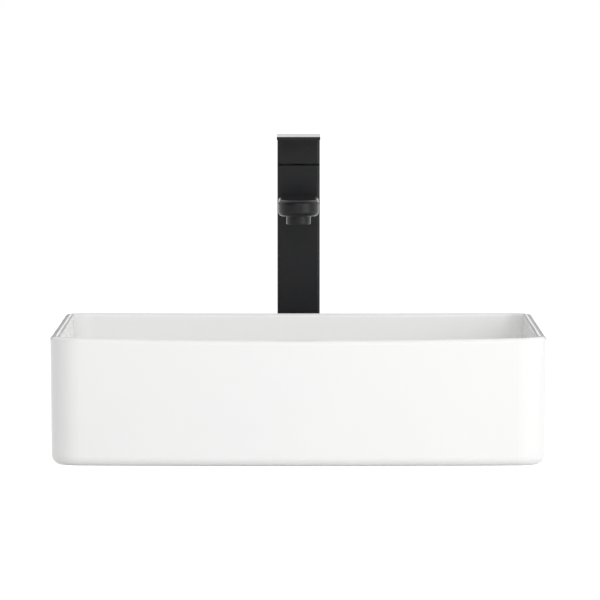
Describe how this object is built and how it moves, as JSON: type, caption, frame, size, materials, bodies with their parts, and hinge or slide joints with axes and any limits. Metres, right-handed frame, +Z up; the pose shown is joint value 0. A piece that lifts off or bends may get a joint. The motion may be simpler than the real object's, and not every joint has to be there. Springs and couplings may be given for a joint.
{
  "type": "countertop basin with mixer tap",
  "caption": "Rectangular white vessel basin with thin walls and push plug, with a tall square matte black lever mixer standing behind it.",
  "frame": {"origin": "on the counter's top face, under the middle of the basin, on the axis of its waste", "axes": "+X to the user's right, +Y from the user towards the mixer, +Z up"},
  "size_m": [0.48, 0.4329, 0.3705],
  "materials": {
    "white_glaze": "gloss white glaze",
    "matte_black": "fine matte black powder coat on brass",
    "raw_brass": "turned brass, uncoated",
    "copper": "drawn copper tube",
    "steel": "plain stainless steel",
    "black_rubber": "black rubber",
    "grey_plastic": "grey engineering plastic",
    "white_plastic": "white plastic",
    "disc_ceramic": "lapped alumina"
  },
  "bodies": {
    "root": {"basin": "white_glaze", "waste_body": "matte_black", "waste_top_gasket": "black_rubber", "waste_rubber_washer": "black_rubber", "waste_slip_washer": "white_plastic", "waste_lock_nut": "raw_brass", "plug_housing": "white_plastic", "plug_spring": "steel", "tap_column": "matte_black", "tap_spout": "matte_black", "base_gasket": "black_rubber", "base_block": "raw_brass", "hot_riser_tube": "copper", "cold_riser_tube": "copper", "threaded_shank": "raw_brass", "shank_rubber_washer": "black_rubber", "shank_steel_washer": "steel", "shank_lock_nut": "raw_brass", "lock_nut_screws": "steel", "aerator_housing": "matte_black", "aerator_insert": "grey_plastic", "aerator_washer": "black_rubber", "cartridge_base_seals": "black_rubber", "cartridge_base": "grey_plastic", "fixed_disc": "disc_ceramic", "cartridge_body": "white_plastic", "cartridge_nut": "raw_brass", "trim_cap": "matte_black"},
    "plug": {"plug_cap": "matte_black", "plug_seal": "black_rubber", "plug_stem": "steel"},
    "swivel": {"lever_guide": "grey_plastic", "pivot_pin": "steel"},
    "slider": {"moving_disc": "disc_ceramic", "disc_driver": "grey_plastic"},
    "lever": {"lever_spindle": "raw_brass", "lever_handle": "matte_black", "handle_set_screw": "steel", "set_screw_plug": "black_rubber"}
  },
  "joints": [
    {"name": "plug_press", "type": "slide", "parent": "root", "child": "plug", "axis": [0, 0, 1], "range_m": [0, 0.009], "deforming": ["plug_spring"]},
    {"name": "handle_turn", "type": "hinge", "parent": "root", "child": "swivel", "pos_m": [0, 0.222, 0.2577], "axis": [0, 0, 1], "range_deg": [-45, 45]},
    {"name": "handle_lift", "type": "hinge", "parent": "swivel", "child": "lever", "pos_m": [0, 0.222, 0.2665], "axis": [-1, 0, 0], "range_deg": [0, 20]},
    {"name": "disc_slide", "type": "slide", "parent": "swivel", "child": "slider", "axis": [0, -1, 0], "range_m": [0, 0.0034]}
  ],
  "couplings": [
    {"joint": "disc_slide", "follows": "handle_lift", "m_per_rad": 0.0094}
  ]
}
